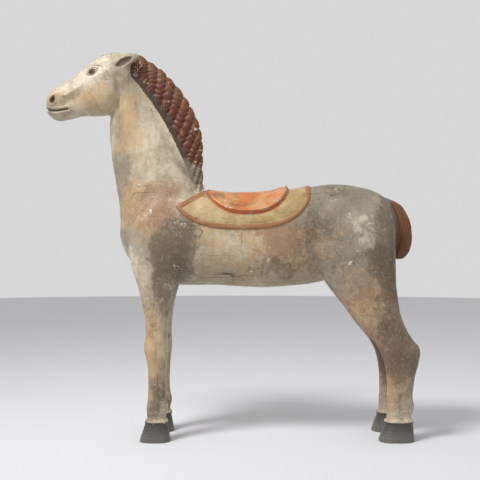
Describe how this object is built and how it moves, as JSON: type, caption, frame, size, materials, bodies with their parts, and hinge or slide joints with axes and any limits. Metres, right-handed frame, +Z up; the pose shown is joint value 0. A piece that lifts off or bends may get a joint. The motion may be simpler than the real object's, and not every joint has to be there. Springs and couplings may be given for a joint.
{
  "type": "carousel horse",
  "caption": "Carved and painted wooden carousel horse standing square on its hooves, with a crested mane, a docked tail and a carved saddle on a cloth.",
  "frame": {"origin": "on the ground, under the middle of the horse's length and width", "axes": "+Z up, the head towards -X, the horse's left side towards -Y"},
  "size_m": [1.0558, 0.2669, 1.0955],
  "materials": {
    "painted_wood": "old cream paint worn to grey and bare wood, with a maroon mane and tail, an orange seat on an ochre cloth and dark grey hooves"
  },
  "bodies": {
    "root": {"horse": "painted_wood"}
  },
  "joints": []
}
